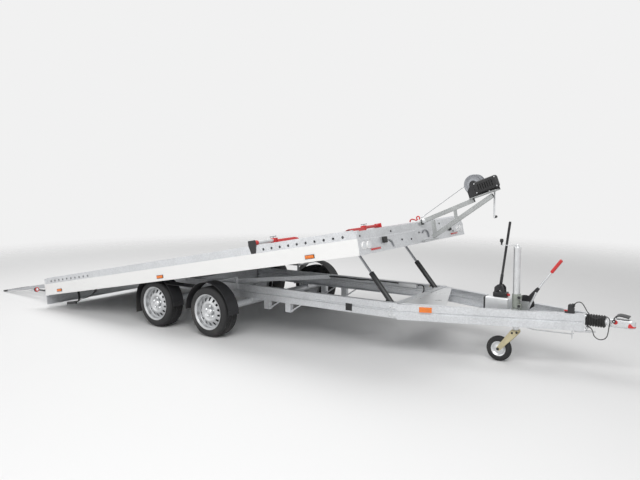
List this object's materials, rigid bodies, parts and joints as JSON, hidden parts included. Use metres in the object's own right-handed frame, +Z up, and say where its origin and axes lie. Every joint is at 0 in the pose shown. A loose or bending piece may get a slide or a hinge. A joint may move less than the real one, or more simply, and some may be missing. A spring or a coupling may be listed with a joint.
{
  "type": "tilting car transporter trailer",
  "caption": "Twin-axle car transporter trailer with hydraulic tilting bed, loading ramps, winch, jockey wheel and overrun ball coupling, shown tipped for loading.",
  "frame": {"origin": "bottom centre of the bounding box, on the ground, with the bed tipped and the ramps down", "axes": "+X forwards to the coupling, +Y to the trailer's left, +Z up"},
  "size_m": [8.1276, 2.3398, 1.6186],
  "materials": {
    "galvanised_steel": "hot-dip galvanised",
    "zinc_plated_steel": "zinc plated",
    "yellow_zinc_steel": "yellow passivated",
    "white_paint": "gloss white",
    "red_paint": "gloss red",
    "black_paint": "satin black",
    "black_plastic": "matt",
    "rubber": "matt",
    "tyre": "matt",
    "silver_wheel": "silver paint",
    "aluminium": "mill finish",
    "lens": "clear gloss",
    "steel_rope": "galvanised"
  },
  "bodies": {
    "chassis": {"rail_left": "galvanised_steel", "rail_right": "galvanised_steel", "crossbeams": "galvanised_steel", "drawbar_left": "galvanised_steel", "drawbar_right": "galvanised_steel", "corner_plates": "zinc_plated_steel", "axle_front": "galvanised_steel", "axle_rear": "galvanised_steel", "mudguard_left": "black_plastic", "mudguard_right": "black_plastic", "guard_brackets": "galvanised_steel", "tilt_brackets": "galvanised_steel", "rail_brackets": "galvanised_steel", "hydraulic_pump": "black_paint", "jockey_clamp": "black_paint", "coupling_housing": "zinc_plated_steel", "parking_socket": "black_plastic", "electric_cable": "rubber", "coupling_bellows": "rubber", "reflectors": "lens"},
    "bed": {"deck": "galvanised_steel", "side_rail_left": "white_paint", "side_rail_right": "white_paint", "kerb_left": "galvanised_steel", "kerb_right": "galvanised_steel", "bed_beams": "galvanised_steel", "bed_joists": "galvanised_steel", "headboard": "galvanised_steel", "rear_beam": "galvanised_steel", "lamps": "lens", "winch_stand": "galvanised_steel", "winch_frame": "black_paint", "winch_cable": "steel_rope", "wheel_stop_left": "red_paint", "wheel_stop_right": "red_paint"},
    "wheel_front_left": {"tyre_front_left": "tyre", "rim_front_left": "silver_wheel"},
    "wheel_front_right": {"tyre_front_right": "tyre", "rim_front_right": "silver_wheel"},
    "wheel_rear_left": {"tyre_rear_left": "tyre", "rim_rear_left": "silver_wheel"},
    "wheel_rear_right": {"tyre_rear_right": "tyre", "rim_rear_right": "silver_wheel"},
    "ramp_left": {"ramp_left": "aluminium"},
    "ramp_right": {"ramp_right": "aluminium"},
    "barrel_left": {"barrel_left": "black_paint"},
    "barrel_right": {"barrel_right": "black_paint"},
    "piston_left": {"piston_left": "zinc_plated_steel"},
    "piston_right": {"piston_right": "zinc_plated_steel"},
    "pump_lever": {"pump_lever": "black_paint"},
    "winch_drum": {"winch_drum": "zinc_plated_steel"},
    "winch_crank": {"winch_crank": "zinc_plated_steel"},
    "jockey_post": {"jockey_post": "zinc_plated_steel"},
    "jockey_crank": {"jockey_crank": "zinc_plated_steel"},
    "jockey_inner": {"jockey_inner": "zinc_plated_steel"},
    "jockey_fork": {"jockey_fork": "yellow_zinc_steel"},
    "jockey_wheel": {"jockey_wheel": "rubber"},
    "brake_lever": {"brake_lever": "black_paint"},
    "coupling_head": {"coupling_head": "zinc_plated_steel"},
    "coupling_handle": {"coupling_handle": "black_plastic"}
  },
  "joints": [
    {"name": "bed_tilt", "type": "hinge", "parent": "chassis", "child": "bed", "pos_m": [-0.55023, 0, 0.536], "axis": [0, 1, 0], "range_deg": [0, 9.97]},
    {"name": "ramp_left_fold", "type": "hinge", "parent": "bed", "child": "ramp_left", "pos_m": [-2.49518, 0.58, 0.26213], "axis": [0, 1, 0], "range_deg": [-4, 95]},
    {"name": "ramp_right_fold", "type": "hinge", "parent": "bed", "child": "ramp_right", "pos_m": [-2.49518, -0.58, 0.26213], "axis": [0, 1, 0], "range_deg": [-4, 95]},
    {"name": "barrel_left_swing", "type": "hinge", "parent": "chassis", "child": "barrel_left", "pos_m": [2.13377, 0.455, 0.458], "axis": [0, -1, 0], "range_deg": [0, 32.89]},
    {"name": "piston_left_stroke", "type": "slide", "parent": "barrel_left", "child": "piston_left", "axis": [0.6429, 0, -0.766], "range_m": [0, 0.26543]},
    {"name": "barrel_right_swing", "type": "hinge", "parent": "chassis", "child": "barrel_right", "pos_m": [2.13377, -0.455, 0.458], "axis": [0, -1, 0], "range_deg": [0, 32.89]},
    {"name": "piston_right_stroke", "type": "slide", "parent": "barrel_right", "child": "piston_right", "axis": [0.6429, 0, -0.766], "range_m": [0, 0.26543]},
    {"name": "wheel_front_left_spin", "type": "hinge", "parent": "chassis", "child": "wheel_front_left", "pos_m": [0.29877, 0.885, 0.2575], "axis": [0, 1, 0], "continuous": true},
    {"name": "wheel_front_right_spin", "type": "hinge", "parent": "chassis", "child": "wheel_front_right", "pos_m": [0.29877, -0.885, 0.2575], "axis": [0, 1, 0], "continuous": true},
    {"name": "wheel_rear_left_spin", "type": "hinge", "parent": "chassis", "child": "wheel_rear_left", "pos_m": [-0.50123, 0.885, 0.2575], "axis": [0, 1, 0], "continuous": true},
    {"name": "wheel_rear_right_spin", "type": "hinge", "parent": "chassis", "child": "wheel_rear_right", "pos_m": [-0.50123, -0.885, 0.2575], "axis": [0, 1, 0], "continuous": true},
    {"name": "pump_stroke", "type": "hinge", "parent": "chassis", "child": "pump_lever", "pos_m": [2.97377, -0.02, 0.637], "axis": [0, 1, 0], "range_deg": [-45, 0]},
    {"name": "winch_crank_turn", "type": "hinge", "parent": "bed", "child": "winch_crank", "pos_m": [2.82508, 0.1, 1.47556], "axis": [0, 1, 0], "continuous": true},
    {"name": "winch_drum_turn", "type": "hinge", "parent": "bed", "child": "winch_drum", "pos_m": [2.6709, 0.11, 1.52664], "axis": [0, 1, 0], "continuous": true},
    {"name": "jockey_post_slide", "type": "slide", "parent": "chassis", "child": "jockey_post", "axis": [0, 0, 1], "range_m": [-0.2, 0.03]},
    {"name": "jockey_crank_turn", "type": "hinge", "parent": "jockey_post", "child": "jockey_crank", "pos_m": [3.15277, -0.13, 1.01], "axis": [0, 0, 1], "continuous": true},
    {"name": "jockey_wind", "type": "slide", "parent": "jockey_post", "child": "jockey_inner", "axis": [0, 0, 1], "range_m": [-0.15, 0.015]},
    {"name": "jockey_swivel", "type": "hinge", "parent": "jockey_inner", "child": "jockey_fork", "pos_m": [3.15277, -0.13, 0.292], "axis": [0, 0, 1], "continuous": true},
    {"name": "jockey_wheel_spin", "type": "hinge", "parent": "jockey_fork", "child": "jockey_wheel", "pos_m": [3.01077, -0.13, 0.11], "axis": [0, 1, 0], "continuous": true},
    {"name": "brake_lever_pull", "type": "hinge", "parent": "chassis", "child": "brake_lever", "pos_m": [3.19477, -0.02, 0.502], "axis": [0, 1, 0], "range_deg": [-15, 40]},
    {"name": "coupling_push", "type": "slide", "parent": "chassis", "child": "coupling_head", "axis": [-1, 0, 0], "range_m": [0, 0.08], "deforming": ["coupling_bellows"]},
    {"name": "coupling_handle_lift", "type": "hinge", "parent": "coupling_head", "child": "coupling_handle", "pos_m": [3.90877, 0, 0.445], "axis": [0, -1, 0], "range_deg": [0, 45]}
  ],
  "couplings": [
    {"joint": "barrel_left_swing", "follows": "bed_tilt", "ratio": 3.2938},
    {"joint": "piston_left_stroke", "follows": "bed_tilt", "m_per_rad": 1.5225},
    {"joint": "barrel_right_swing", "follows": "bed_tilt", "ratio": 3.2938},
    {"joint": "piston_right_stroke", "follows": "bed_tilt", "m_per_rad": 1.5225},
    {"joint": "winch_crank_turn", "follows": "winch_drum_turn", "ratio": -4}
  ]
}
